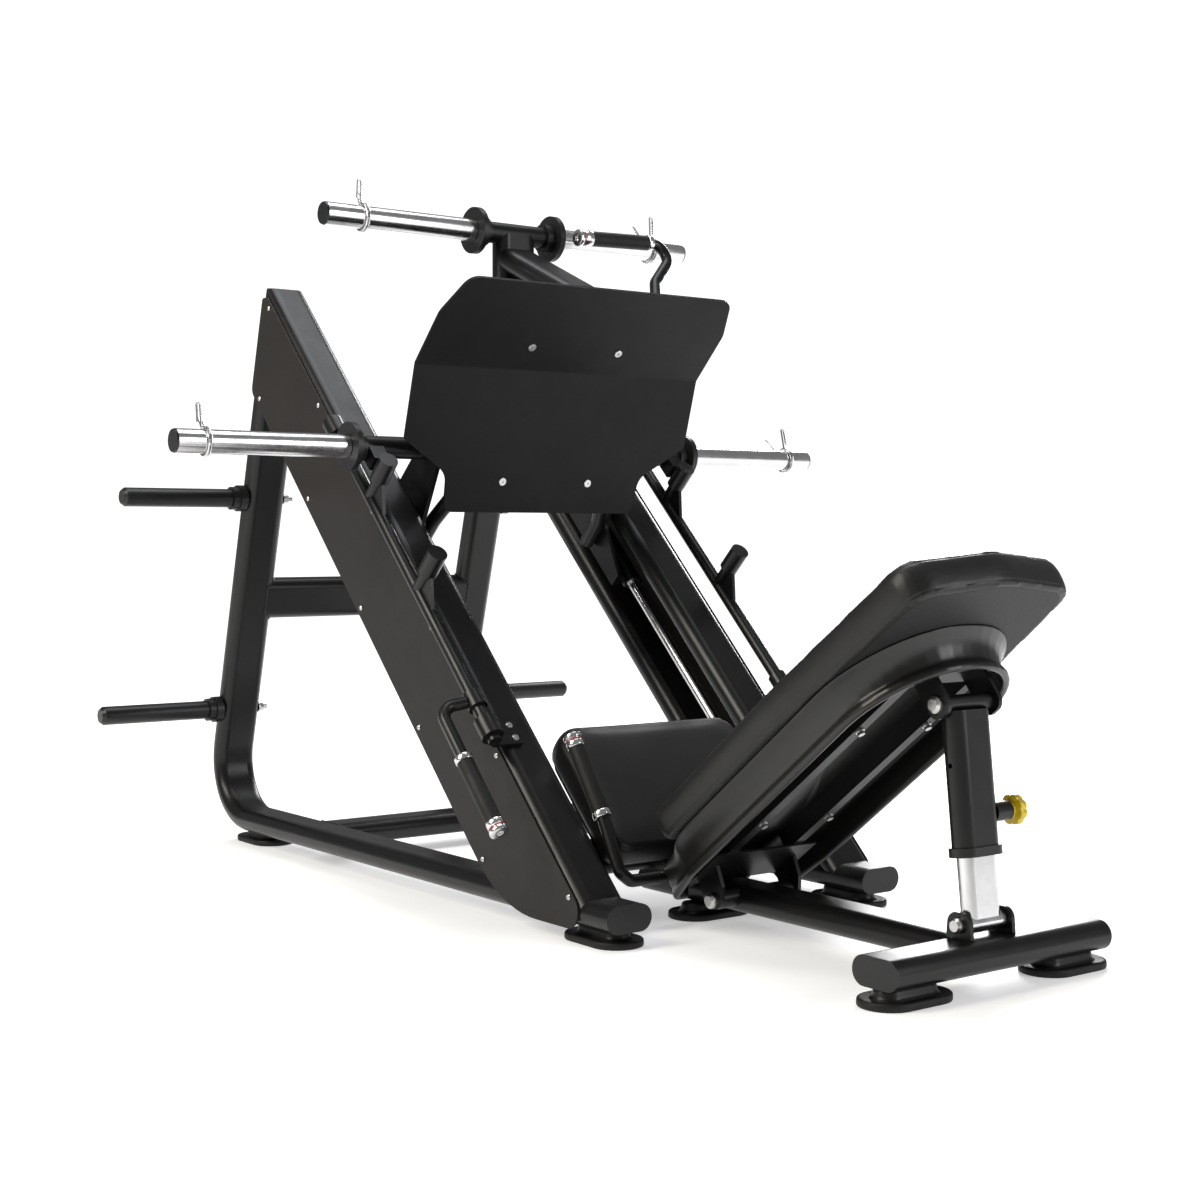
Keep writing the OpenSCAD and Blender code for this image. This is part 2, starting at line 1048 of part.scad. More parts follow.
module rail_tie_plates() {
  color(paint)
    both_sides()
      plate_xz([[170, 60], [300, 60], [345, 140], [283, 212], [215, 170]], 266.2, 271.8);
}

module seat_bracket() {
  color(paint)
    both_sides()
      difference() {
        rail(0, 0, 0)
          plate_xz([[-110, 296.9], [-110, 282], [40, 262], [130, 262], [232, 330], [232, 356], [196, 356], [150, 296.9]], 66, 74);
        rail(cross_s, 0, cross_n)
          bar_y(200, 80.2, 40.2);
        translate([397, 0, 98])
          cyl_y(60, 80, 26.4);
      }
}

module seat_post() {
  color(paint)
    difference() {
      translate([206, -25, 83.1])
        cube([78, 50, 30]);
      rail(cross_s, 0, cross_n)
        bar_y(200, 80.2, 40.2);
    }
}

grip_top = [250, -252, 355];
grip_low = [348, -252, 211];
seat_bar_path = [grip_top, grip_low, [397, -252, 118], [397, -225, 98], [397, 225, 98], [397, 252, 118],
  [348, 252, 211], [250, 252, 355]];

module seat_handle_bar() {
  color([0.08, 0.08, 0.08])
    sweep(bent(seat_bar_path, 16, 6), 25, 24);
}

module along_seat_grip(at) {
  translate(grip_top)
    rotate([0, 180 - atan2(98, 144), 0])
      translate([0, 0, at])
        children();
}

module seat_grips() {
  color(rubber)
    both_sides()
      along_seat_grip(14)
        difference() {
          cylinder(h = 140, d = 34);
          translate([0, 0, -1])
            cylinder(h = 150, d = 25.6);
        }
}

module seat_grip_rings() {
  color(chrome)
    both_sides() {
      along_seat_grip(-14)
        difference() {
          cylinder(h = 27.5, d = 38);
          translate([0, 0, 12])
            cylinder(h = 40, d = 25.6);
          translate([0, 0, -1])
            cylinder(h = 4, d = 14);
        }
      along_seat_grip(154.5)
        difference() {
          cylinder(h = 14, d = 36);
          translate([0, 0, -1])
            cylinder(h = 20, d = 25.6);
        }
    }
}

// ---- backrest ----

module hinge_barrel() {
  color(paint)
    translate([hinge_x, 0, hinge_z])
      difference() {
        cyl_y(-92, 92, 36);
        cyl_y(-100, 100, 20.1);
      }
}

module hinge_bracket() {
  color(paint)
    back()
      difference() {
        union() {
          translate([-45, -129, 31])
            cube([110, 258, 5]);
          both_sides()
            plate_xz(rounded([[-52, -22], [-14, -44], [14, -10], [24, 31.5], [-40, 31.5]], [20, 20, 8, 1, 1], 6), 95, 103);
        }
        translate([pivot_l[0], 0, pivot_l[1]])
          cyl_y(-120, 120, 20);
      }
}

module hinge_pin() {
  color(zinc)
    back()
      translate([pivot_l[0], 0, pivot_l[1]]) {
        cyl_y(-103.2, 103.2, 20);
        both_sides() {
          cyl_y(103.2, 112, 30);
          translate([0, 112, 0])
            rotate([-90, 0, 0])
              cylinder(h = 4, d1 = 30, d2 = 20);
        }
      }
}

module backrest_rails() {
  color([0.2, 0.2, 0.21])
    back()
      both_sides()
        difference() {
          union() {
            translate([36, 72, 36.1])
              cube([650, 24, 41.8]);
            translate([632, 0, 37])
              cube([50, 74, 8]);
            plate_xz(rounded([[632, 44], [632, -44], [682, -44], [682, 44]], [2, 20, 20, 2], 8), 59, 67);
          }
          translate([30, 75, 39.1])
            cube([601, 18, 35.8]);
          translate([top_pin_l[0], 0, top_pin_l[1]])
            cyl_y(50, 80, 16);
        }
}

module strut_top_bolts() {
  color(zinc)
    back()
      translate([top_pin_l[0], 0, top_pin_l[1]])
        both_sides() {
          cyl_y(59.1, 67.2, 16);
          cyl_y(67.2, 75, 30);
          translate([0, 75, 0])
            rotate([-90, 0, 0])
              cylinder(h = 4, d1 = 30, d2 = 20);
        }
}

module board_bolts() {
  color(zinc)
    back()
      both_sides()
        for (x = [170, 490])
          translate([x, 84, 36])
            rotate([180, 0, 0]) {
              cylinder(h = 2, d = 18);
              translate([0, 0, 2])
                cylinder(h = 6.5, d = 14, $fn = 6);
            }
}

shell_points = [[-68, -157], [-68, 157], [30, 180], [716, 180], [716, -180], [30, -180]];
shell_radii = [16, 16, 60, 170, 170, 60];
shell_inner = [[-64, -153], [-64, 153], [30, 176], [712, 176], [712, -176], [30, -176]];

module backrest_shell() {
  color([0.09, 0.09, 0.1])
    back()
      difference() {
        translate([0, 0, 12])
          linear_extrude(70)
            polygon(rounded(shell_points, shell_radii, 12));
        translate([0, 0, 11])
          linear_extrude(67)
            polygon(rounded(shell_inner, [12, 12, 56, 166, 166, 56], 12));
        translate([-80, -112, 0])
          cube([80, 224, 50]);
      }
}

pad_points = [[44, -226], [44, 226], [440, 226], [838, 196], [868, 0], [838, -196], [440, -226]];

module pad_outline(inset) {
  polygon(rounded([for (p = pad_points) [p[0] - sign(p[0] - 440) * inset, p[1] - sign(p[1]) * inset]],
    [28, 28, 300, 52, 200, 52, 300], 8));
}

module backrest_board() {
  color([0.2, 0.16, 0.12])
    back()
      translate([0, 0, 82])
        linear_extrude(12)
          pad_outline(14);
}

module backrest_pad() {
  color(vinyl)
    back()
      difference() {
        translate([0, 0, 82])
          linear_extrude(78)
            pad_outline(0);
        translate([0, -300, 147])
          rotate([0, -0.75, 0])
            cube([1000, 600, 50]);
        translate([0, 0, 81])
          linear_extrude(13)
            pad_outline(14);
      }
}

// ---- backrest strut ----

module strut_clevis() {
  color(paint)
    both_sides()
      difference() {
        plate_xz(rounded([[1052, 83.1], [1056, 128], [1104, 128], [1108, 83.1]], [1, 20, 20, 1], 8), 48, 56);
        translate([strut_x, 0, strut_z])
          cyl_y(40, 60, 16.2);
      }
}

module strut_lower_pin() {
  color(zinc)
    translate([strut_x, 0, strut_z]) {
      cyl_y(-57, 57, 16);
      both_sides() {
        cyl_y(56.2, 64, 28);
        translate([0, 64, 0])
          rotate([-90, 0, 0])
            cylinder(h = 4, d1 = 28, d2 = 19);
      }
    }
}

module strut_inner_tube() {
  color(chrome)
    strut()
      difference() {
        union() {
          cyl_y(-46, 46, 34);
          translate([0, 0, 8])
            linear_extrude(242)
              rotate(90)
                oval(80, 36);
        }
        translate([0, 0, 22])
          linear_extrude(240)
            rotate(90)
              oval(74, 30);
        cyl_y(-60, 60, 16.1);
        for (z = [101, 121, 141, 161, 181])
          translate([0, 0, z])
            cyl_y(30, 50, 11);
      }
}

module strut_sleeve() {
  color(paint)
    strut() {
      difference() {
        union() {
          translate([0, 0, 128])
            linear_extrude(232)
              rotate(90)
                oval(94, 48);
          translate([0, 0, strut_l])
            cyl_y(-58, 58, 30);
        }
        translate([0, 0, 120])
          linear_extrude(236)
            rotate(90)
              oval(87, 41);
        translate([0, 0, 181])
          cyl_y(30, 60, 16.2);
        translate([0, 0, 267])
          cyl_y(-60, -30, 9);
      }
    }
}

module strut_collar() {
  color([0.06, 0.06, 0.06])
    strut()
      translate([0, 0, 112])
        difference() {
          union() {
            linear_extrude(15.8)
              rotate(90)
                oval(106, 58);
            translate([0, 0, 15.8])
              linear_extrude(24)
                rotate(90)
                  oval(86.8, 40.8);
          }
          translate([0, 0, -1])
            linear_extrude(60)
              rotate(90)
                oval(80.6, 36.6);
        }
}

module plunger_housing() {
  color(paint)
    strut()
      translate([0, 0, 181])
        difference() {
          union() {
            cyl_y(47.2, 86, 34);
            cyl_y(43.6, 47.2, 16);
          }
          cyl_y(40, 90, 10.1);
        }
}

module plunger_pin() {
  color(zinc)
    strut()
      translate([0, 0, 181]) {
        cyl_y(41, 92, 10);
      }
}

module knob_outline() {
  difference() {
    circle(d = 54);
    for (a = [0 : 45 : 315])
      rotate(a)
        translate([31, 0])
          circle(d = 14);
  }
}

module plunger_knob() {
  color([0.9, 0.78, 0.05])
    strut()
      translate([0, 88, 181])
        rotate([-90, 0, 0])
          difference() {
            union() {
              cylinder(h = 7, d = 30);
              translate([0, 0, 6])
                linear_extrude(18)
                  knob_outline();
              translate([0, 0, 23])
                cylinder(h = 5, d = 30);
            }
            translate([0, 0, -1])
              cylinder(h = 5.2, d = 10.1);
          }
}

// ---- groups of solids that share a node ----

module carriage_frame() {
  carriage_bars();
  carriage_mast();
}

module carriage_plates() {
  carriage_side_plates();
  plate_ribs();
}

module flanges_and_caps() {
  weight_flanges();
  sleeve_end_caps();
}

module seat_frame() {
  seat_cross_tube();
  rail_tie_plates();
  seat_bracket();
  seat_post();
}

module pivot_brackets() {
  hinge_barrel();
  strut_clevis();
}

module backrest_frame() {
  hinge_bracket();
  backrest_rails();
}

module backrest_bolts() {
  hinge_pin();
  strut_top_bolts();
  board_bolts();
}

module strut_outer_tube() {
  strut_sleeve();
  plunger_housing();
}

side_frame(-1);  // side_frame_left
side_frame(1);  // side_frame_right
upper_beam(-1);  // upper_beam_left
upper_beam(1);  // upper_beam_right
lower_beam(-1);  // lower_beam_left
lower_beam(1);  // lower_beam_right
side_cover(-1);  // side_cover_left
side_cover(1);  // side_cover_right
frame_bolts();
cross_tubes();
front_beam();
spine_tube();
tube_end_caps();
foot_pads();
foot_studs();
storage_horns();
guide_rods();
rod_brackets();
rod_bumpers();
seat_frame();
seat_board();
seat_pad();
seat_handle_bar();
seat_grips();
seat_grip_rings();
pivot_brackets();
stop_rod(-1);  // stop_rod_left
stop_rod(1);  // stop_rod_right
stop_posts(-1);  // stop_posts_left
stop_posts(1);  // stop_posts_right
stop_grip(-1);  // stop_grip_left
stop_grip(1);  // stop_grip_right
stop_grip_rings(-1);  // stop_grip_rings_left
stop_grip_rings(1);  // stop_grip_rings_right
carriage_frame();
carriage_plates();
carriage_arms();
bearing_housings();
linear_bearings();
footplate();
footplate_bolts();
weight_sleeves();
flanges_and_caps();
carriage_handle();
carriage_grip();
carriage_grip_rings();
side_clip(-1);  // side_clip_left
side_clip(1);  // side_clip_right
crown_clip(-1);  // crown_clip_left
crown_clip(1);  // crown_clip_right
backrest_pad();
backrest_board();
backrest_shell();
backrest_frame();
backrest_bolts();
strut_inner_tube();
strut_outer_tube();
strut_collar();
plunger_pin();
plunger_knob();
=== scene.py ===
"""Looks of the plate-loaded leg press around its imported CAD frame. Metres, +Z up."""

import json
import math

import bmesh
import bpy
import numpy as np
from mathutils import Matrix, Vector
from mathutils.bvhtree import BVHTree
from mathutils.kdtree import KDTree


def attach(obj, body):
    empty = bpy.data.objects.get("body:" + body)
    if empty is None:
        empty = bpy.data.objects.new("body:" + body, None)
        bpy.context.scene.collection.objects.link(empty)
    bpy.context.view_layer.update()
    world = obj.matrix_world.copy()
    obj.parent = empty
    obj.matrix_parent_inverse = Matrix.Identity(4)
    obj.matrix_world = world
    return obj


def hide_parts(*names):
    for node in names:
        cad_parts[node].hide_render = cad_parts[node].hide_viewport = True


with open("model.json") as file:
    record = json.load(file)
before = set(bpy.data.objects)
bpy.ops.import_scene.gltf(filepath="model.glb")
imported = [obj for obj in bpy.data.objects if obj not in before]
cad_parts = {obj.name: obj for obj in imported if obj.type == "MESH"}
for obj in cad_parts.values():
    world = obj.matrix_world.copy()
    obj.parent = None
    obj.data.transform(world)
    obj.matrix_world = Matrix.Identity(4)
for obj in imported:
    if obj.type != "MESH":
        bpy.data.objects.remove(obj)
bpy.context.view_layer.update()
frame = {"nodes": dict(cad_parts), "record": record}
nodes = frame["nodes"]

# ---------------------------------------------------------------- camera

YAW, PITCH = 0.6407, 0.0345
EYE = (3.2124, -2.3978, 0.7610)
cam_data = bpy.data.cameras.new("camera")
cam_data.sensor_width = 36.0
cam_data.lens = 55.8504
cam_data.clip_start, cam_data.clip_end = 0.05, 60.0
camera = bpy.data.objects.new("camera", cam_data)
bpy.context.collection.objects.link(camera)
camera.location = EYE
level = math.cos(PITCH)
look = Vector((-math.cos(YAW) * level, math.sin(YAW) * level, -math.sin(PITCH)))
camera.rotation_euler = look.to_track_quat("-Z", "Y").to_euler()
bpy.context.scene.camera = camera
bpy.context.scene.view_settings.view_transform = "Standard"


# ---------------------------------------------------------------- materials

class Nodes:
    """Small helper to write a material's node tree."""

    def __init__(self, name):
        self.mat = bpy.data.materials.new(name)
        self.mat.use_nodes = True
        self.tree = self.mat.node_tree
        self.bsdf = self.tree.nodes["Principled BSDF"]
        self.coord = self.add("ShaderNodeTexCoord")

    def add(self, kind, **values):
        node = self.tree.nodes.new(kind)
        for key, value in values.items():
            if key in node.inputs:
                node.inputs[key].default_value = value
            else:
                setattr(node, key, value)
        return node

    def link(self, a, b):
        self.tree.links.new(a, b)

    def mapped(self, scale):
        m = self.add("ShaderNodeMapping")
        m.inputs["Scale"].default_value = scale
        self.link(self.coord.outputs["Object"], m.inputs["Vector"])
        return m.outputs["Vector"]

    def noise(self, scale, detail=4.0, rough=0.55, stretch=(1, 1, 1)):
        n = self.add("ShaderNodeTexNoise", Scale=scale, Detail=detail, Roughness=rough)
        self.link(self.mapped(stretch), n.inputs["Vector"])
        return n.outputs["Fac"]

    def ramp(self, fac, low, high, a, b):
        r = self.add("ShaderNodeMapRange")
        self.link(fac, r.inputs["Value"])
        for key, value in zip(("From Min", "From Max", "To Min", "To Max"), (low, high, a, b)):
            r.inputs[key].default_value = value
        return r.outputs["Result"]

    def mix(self, fac, a, b):
        m = self.add("ShaderNodeMix", data_type="RGBA")
        self.link(fac, m.inputs["Factor"])
        m.inputs["A"].default_value = (*a, 1)
        m.inputs["B"].default_value = (*b, 1)
        return m.outputs["Result"]

    def bump(self, height, strength, distance, below=None):
        b = self.add("ShaderNodeBump", Strength=strength, Distance=distance)
        self.link(height, b.inputs["Height"])
        if below is not None:
            self.link(below, b.inputs["Normal"])
        return b.outputs["Normal"]


def surface(name, dark, light, rough, metal=0.0, tone=6.0, grain=900.0, grain_depth=0.00004,
            waves=0.0, coat=0.0, sheen=0.0, specular=0.5, stretch=(1, 1, 1)):
    """Noise-varied colour and roughness with a fine grain; waves adds a slow unevenness."""
    n = Nodes(name)
    blotch = n.noise(tone, 5.0, 0.6, stretch)
    n.link(n.mix(n.ramp(blotch, 0.3, 0.7, 0.0, 1.0), dark, light), n.bsdf.inputs["Base Color"])
    n.link(n.ramp(n.noise(tone * 3.1, 6.0, 0.65, stretch), 0.25, 0.75, *rough), n.bsdf.inputs["Roughness"])
    normal = n.bump(n.noise(grain, 3.0, 0.6, stretch), 0.6, grain_depth)
    if waves:
        normal = n.bump(n.noise(14.0, 2.0, 0.5), 0.5, waves, normal)
    n.link(normal, n.bsdf.inputs["Normal"])
    n.bsdf.inputs["Metallic"].default_value = metal
    n.bsdf.inputs["Coat Weight"].default_value = coat
    n.bsdf.inputs["Coat Roughness"].default_value = 0.1
    n.bsdf.inputs["Sheen Weight"].default_value = sheen
    n.bsdf.inputs["Specular IOR Level"].default_value = specular
    return n.mat


MATS = {
    "powder_black": surface("powder_black", (0.0045, 0.0045, 0.0048), (0.0075, 0.0075, 0.008), (0.27, 0.36),
                            grain=700, grain_depth=0.00002, specular=0.34),
    "cover_dark": surface("cover_dark", (0.013, 0.011, 0.0098), (0.017, 0.0145, 0.013), (0.45, 0.55),
                          grain=1100, grain_depth=0.00002, specular=0.25),
    "plate_black": surface("plate_black", (0.0045, 0.0045, 0.0052), (0.0075, 0.0075, 0.0085), (0.40, 0.50),
                           grain=1300, grain_depth=0.00003, specular=0.16),
    "chrome": surface("chrome", (0.62, 0.62, 0.63), (0.74, 0.74, 0.75), (0.16, 0.26), metal=1.0,
                      tone=9, grain=260, grain_depth=0.000012),
    "zinc": surface("zinc", (0.50, 0.50, 0.50), (0.66, 0.66, 0.65), (0.24, 0.38), metal=1.0, tone=40,
                    grain=600, grain_depth=0.00003),
    "wire": surface("wire", (0.52, 0.52, 0.53), (0.68, 0.68, 0.69), (0.18, 0.3), metal=1.0, tone=60,
                    grain=500, grain_depth=0.00002),
    "rubber": surface("rubber", (0.004, 0.004, 0.004), (0.0075, 0.0075, 0.0075), (0.5, 0.66), tone=12,
                      grain=1500, grain_depth=0.00005, specular=0.35),
    "plastic_black": surface("plastic_black", (0.0055, 0.0055, 0.006), (0.009, 0.009, 0.0095), (0.32, 0.44),
                             tone=10, grain=1200, grain_depth=0.00003, specular=0.42),
    "shell_plastic": surface("shell_plastic", (0.0055, 0.0055, 0.005), (0.009, 0.0088, 0.008), (0.28, 0.36),
                             tone=8, grain=1400, grain_depth=0.00003, waves=0.0004),
    "yellow_plastic": surface("yellow_plastic", (0.62, 0.43, 0.008), (0.72, 0.52, 0.012), (0.25, 0.36),
                              tone=30, grain=900, grain_depth=0.00003, coat=0.3),
    "board": surface("board", (0.010, 0.010, 0.0105), (0.016, 0.016, 0.0165), (0.5, 0.62), tone=18,
                     grain=300, grain_depth=0.0001, specular=0.35, stretch=(1, 6, 6)),
    "vinyl": surface("vinyl", (0.006, 0.006, 0.0058), (0.0095, 0.0095, 0.009), (0.36, 0.46), tone=7,
                     grain=620, grain_depth=0.00008, waves=0.0006, sheen=0.02, specular=0.36),
}

for row in frame["record"]["subparts"]:
    o = nodes[row["node"]]
    o.data.materials.clear()
    o.data.materials.append(MATS[row["material_slot"]])

# ---------------------------------------------------------------- shapes

def turn_y(origin, degrees):
    """Frame whose X axis is lifted by that many degrees in the XZ plane."""
    return Matrix.Translation(origin) @ Matrix.Rotation(-math.radians(degrees), 4, "Y")


RAIL = Matrix.Rotation(math.radians(45), 4, "Y")
BACK = turn_y((0.506, 0, 0.091), 37.6)
STRUT = turn_y((1.080, 0, 0.106), 6.39)


def along(start, end):
    """Frame at start with its Z axis toward end."""
    d = Vector(end) - Vector(start)
    return Matrix.Translation(start) @ d.to_track_quat("Z", "Y").to_matrix().to_4x4()


def rounded(points, radii, n=10):
    """Closed outline with each corner rounded to its own radius, in metres."""
    p = [Vector(q) / 1000 for q in points]
    out = []
    for i, corner in enumerate(p):
        u = (p[i - 1] - corner).normalized()
        v = (p[(i + 1) % len(p)] - corner).normalized()
        half = u.angle(v) / 2
        r = radii[i] / 1000
        centre = corner + (u + v).normalized() * r / math.sin(half)
        d = r / math.tan(half)
        first, last = corner + u * d - centre, corner + v * d - centre
        a = math.atan2(first.y, first.x)
        sweep = math.remainder(math.atan2(last.y, last.x) - a, 2 * math.pi)
        out += [centre + Vector((math.cos(a + sweep * k / n), math.sin(a + sweep * k / n))) * r
                for k in range(n + 1)]
    return np.array([tuple(q) for q in out])


def resample(points, step):
    """Closed outline with points a fixed step apart, counter-clockwise."""
    area2 = np.sum(points[:, 0] * np.roll(points[:, 1], -1) - points[:, 1] * np.roll(points[:, 0], -1))
    if area2 < 0:
        points = points[::-1]
    closed = np.vstack([points, points[:1]])
    run = np.concatenate([[0], np.cumsum(np.linalg.norm(np.diff(closed, axis=0), axis=1))])
    n = max(16, int(run[-1] / step))
    t = np.linspace(0, run[-1], n, endpoint=False)
    return np.stack([np.interp(t, run, closed[:, 0]), np.interp(t, run, closed[:, 1])], 1)


def outward(points):
    """Unit normals that point out of a counter-clockwise outline."""
    d = np.roll(points, -1, 0) - np.roll(points, 1, 0)
    n = np.stack([d[:, 1], -d[:, 0]], 1)
    return n / np.linalg.norm(n, axis=1)[:, None]


def piece(name, verts, faces, body, slot, matrix=None, mat=None):
    """Smooth-shaded mesh, riding on a body where one is given; mat stands in for the slot's material."""
    mesh = bpy.data.meshes.new(name)
    mesh.from_pydata([tuple(v) for v in verts], [], faces)
    if matrix is not None:
        mesh.transform(matrix)
    bm = bmesh.new()
    bm.from_mesh(mesh)
    bmesh.ops.remove_doubles(bm, verts=bm.verts, dist=1e-6)
    bmesh.ops.recalc_face_normals(bm, faces=bm.faces)
    bm.to_mesh(mesh)
    bm.free()
    mesh.materials.append(mat or MATS[slot])
    mesh.polygons.foreach_set("use_smooth", [True] * len(mesh.polygons))
    o = bpy.data.objects.new(name, mesh)
    bpy.context.collection.objects.link(o)
    if body:
        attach(o, body)
    return o


def strips(rings, close_first=True, close_last=True):
    """Faces that join rings of equal length, with fans of shrinking rings over the ends."""
    n = len(rings[0])
    verts = [p for ring in rings for p in ring]
    faces = []
    for i in range(len(rings) - 1):
        for k in range(n):
            a, b = i * n + k, i * n + (k + 1) % n
            faces.append((a, b, b + n, a + n))
    for ring, close, index in ((rings[0], close_first, 0), (rings[-1], close_last, len(rings) - 1)):
        if close:
            verts.append(np.mean(ring, axis=0))
            c = len(verts) - 1
            faces += [(index * n + (k + 1) % n, index * n + k, c) for k in range(n)]
    return verts, faces


def lathe(profile, sides=40):
    """Rings of (radius, height) pairs in millimetres round the Z axis."""
    a = np.linspace(0, 2 * math.pi, sides, endpoint=False)
    return [np.stack([r / 1000 * np.cos(a), r / 1000 * np.sin(a), np.full(sides, z / 1000)], 1)
            for r, z in profile]


def join(parts):
    """One vertex and face list from several (vertices, faces, matrix) parts."""
    verts, faces = [], []
    for v, f, m in parts:
        base = len(verts)
        verts += [tuple(m @ Vector(q)) for q in v]
        faces += [tuple(base + i for i in face) for face in f]
    return verts, faces


MIRROR = Matrix.Diagonal((1, -1, 1, 1))

# ---------------------------------------------------------------- pads

CLOTH_FRAMES = 10
SMOOTHING_PASSES = 6
COVER_VOXEL = 0.008
SEAM_WIDTH, SEAM_DEPTH = 0.0022, 0.0016
LOWER_SEAM = 0.007


def puff(o, pinned, pressure, cap):
    """Swells a closed cover with cloth pressure while pinned points stay, then caps how far it moved."""
    mesh = o.data
    rest = np.array([v.co[:] for v in mesh.vertices])
    group = o.vertex_groups.new(name="pin")
    for i, w in enumerate(pinned(rest)):
        if w > 0:
            group.add([i], float(w), "REPLACE")
    cloth = o.modifiers.new("cover", "CLOTH")
    s = cloth.settings
    s.quality = 3
    s.mass = 0.3
    s.tension_stiffness = s.compression_stiffness = 20
    s.shear_stiffness = 8
    s.bending_stiffness = 5
    s.use_pressure = True
    s.uniform_pressure_force = pressure
    s.effector_weights.gravity = 0
    s.vertex_group_mass = "pin"
    s.pin_stiffness = 1
    cloth.point_cache.frame_start, cloth.point_cache.frame_end = 1, CLOTH_FRAMES
    for f in range(1, CLOTH_FRAMES + 1):
        bpy.context.scene.frame_set(f)
    made = o.evaluated_get(bpy.context.evaluated_depsgraph_get()).to_mesh()
    moved = np.array([v.co[:] for v in made.vertices]) - rest
    o.modifiers.remove(cloth)
    bpy.context.scene.frame_set(1)
    ends = np.array([e.vertices[:] for e in mesh.edges])
    neighbours = np.bincount(ends.ravel(), minlength=len(rest))
    for _ in range(SMOOTHING_PASSES):
        total = np.zeros_like(moved)
        np.add.at(total, ends[:, 0], moved[ends[:, 1]])
        np.add.at(total, ends[:, 1], moved[ends[:, 0]])
        moved = total / neighbours[:, None]
    length = np.maximum(np.linalg.norm(moved, axis=1), 1e-9)
    moved *= np.minimum(1, cap * np.tanh(length / cap) / length)[:, None]
    mesh.vertices.foreach_set("co", (rest + moved).astype(np.float32).ravel())
    mesh.update()


def apply_all(o):
    """Bakes the object's modifiers into its mesh."""
    made = bpy.data.meshes.new_from_object(o.evaluated_get(bpy.context.evaluated_depsgraph_get()))
    o.modifiers.clear()
    o.data = made


def groove(o, path, width, depth):
    """Presses a seam into the surface along a closed path."""
    fine = []
    for i in range(len(path)):
        a, b = path[i], path[(i + 1) % len(path)]
        fine += [a + (b - a) * t for t in (0, 0.5)]
    tree = KDTree(len(fine))
    for i, q in enumerate(fine):
        tree.insert(q, i)
    tree.balance()
    places = np.array([v.co[:] for v in o.data.vertices])
    normals = np.array([v.normal[:] for v in o.data.vertices])
    away = np.array([tree.find(q)[2] for q in places])
    places -= normals * (depth * np.exp(-(away / width) ** 2))[:, None]
    o.data.vertices.foreach_set("co", places.astype(np.float32).ravel())
    o.data.update()


def pad(name, outline, base, top, wall, body, node, matrix, seam_drop, cap):
    """Upholstered pad: outline in metres, base and top as heights over the board, wall as a bulge."""
    ring = resample(outline, 0.006)
    out = outward(ring)
    height = np.array([top(q[0]) for q in ring])
    rings = []
    for inset, share in ((0.010, 0.0), (0.003, 0.0), (0.0, 0.05), (-wall * 0.7, 0.3), (-wall, 0.55),
                         (-wall * 0.6, 0.78), (0.001, 0.92), (0.004, 0.975), (0.009, 0.995), (0.016, 1.0)):
        flat = ring - out * inset
        rings.append(np.column_stack([flat, base + (height - base) * share]))
    edge = rings[-1]
    centre = edge.mean(0)
    for k in range(1, 16):
        t = k / 16
        inner = edge + (centre - edge) * t
        inner[:, 2] = [top(q[0]) for q in inner]
        inner[:, 2] += 0.004 * math.sin(t * math.pi / 2)
        rings.append(inner)
    verts, faces = strips(rings)
    o = piece(name, verts, faces, None, None, matrix, mat=MATS["vinyl"])
    remesh = o.modifiers.new("remesh", "REMESH")
    remesh.mode, remesh.voxel_size = "VOXEL", COVER_VOXEL
    apply_all(o)
    back = matrix.inverted()

    def pinned(points):
        local = np.array([tuple(back @ Vector(q)) for q in points])
        low = np.clip(1 - (local[:, 2] - base) / 0.012, 0, 1)
        near = np.array([top(x) for x in local[:, 0]]) - seam_drop - local[:, 2]
        edge_band = np.exp(-(near / 0.006) ** 2)
        return np.maximum(low, 0.55 * edge_band * (local[:, 2] > base + 0.02))

    puff(o, pinned, 4.0, cap)
    o.modifiers.new("smooth", "SUBSURF").levels = 2
    apply_all(o)
    for seam in (height - seam_drop, np.full(len(ring), base + LOWER_SEAM)):
        path = [matrix @ Vector(q) for q in np.column_stack([ring + out * 0.001, seam])]
        groove(o, path, SEAM_WIDTH, SEAM_DEPTH)
    o.data.polygons.foreach_set("use_smooth", [True] * len(o.data.polygons))
    o.data.update()
    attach(o, body)
    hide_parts(node)
    return o


SEAT_OUTLINE = rounded([(-156, -229), (-156, 229), (152, 229), (152, -229)], [48, 48, 30, 30])
pad("seat_cushion", SEAT_OUTLINE, 0.3092, lambda x: 0.377, 0.004, "frame", "seat_pad", RAIL, 0.009, 0.005)

BACK_OUTLINE = rounded([(45, -224), (45, 224), (440, 224), (836, 194), (866, 0), (836, -194), (440, -224)],
                       [28, 28, 300, 52, 200, 52, 300])
pad("back_cushion", BACK_OUTLINE, 0.0822, lambda x: 0.1445 + 0.013 * x, 0.005, "backrest", "backrest_pad",
    BACK, 0.010, 0.006)

# ---------------------------------------------------------------- moulded shell under the backrest

def four_point(profile):
    """Rows with one more between each inner pair, on the curve through their four neighbours."""
    rows = [np.array(q, float) for q in profile]
    smooth = rows[:2]
    for a, b, c, d in zip(rows, rows[1:], rows[2:], rows[3:]):
        smooth += [(9 * (b + c) - a - d) / 16, c]
    return smooth + [rows[-1]]


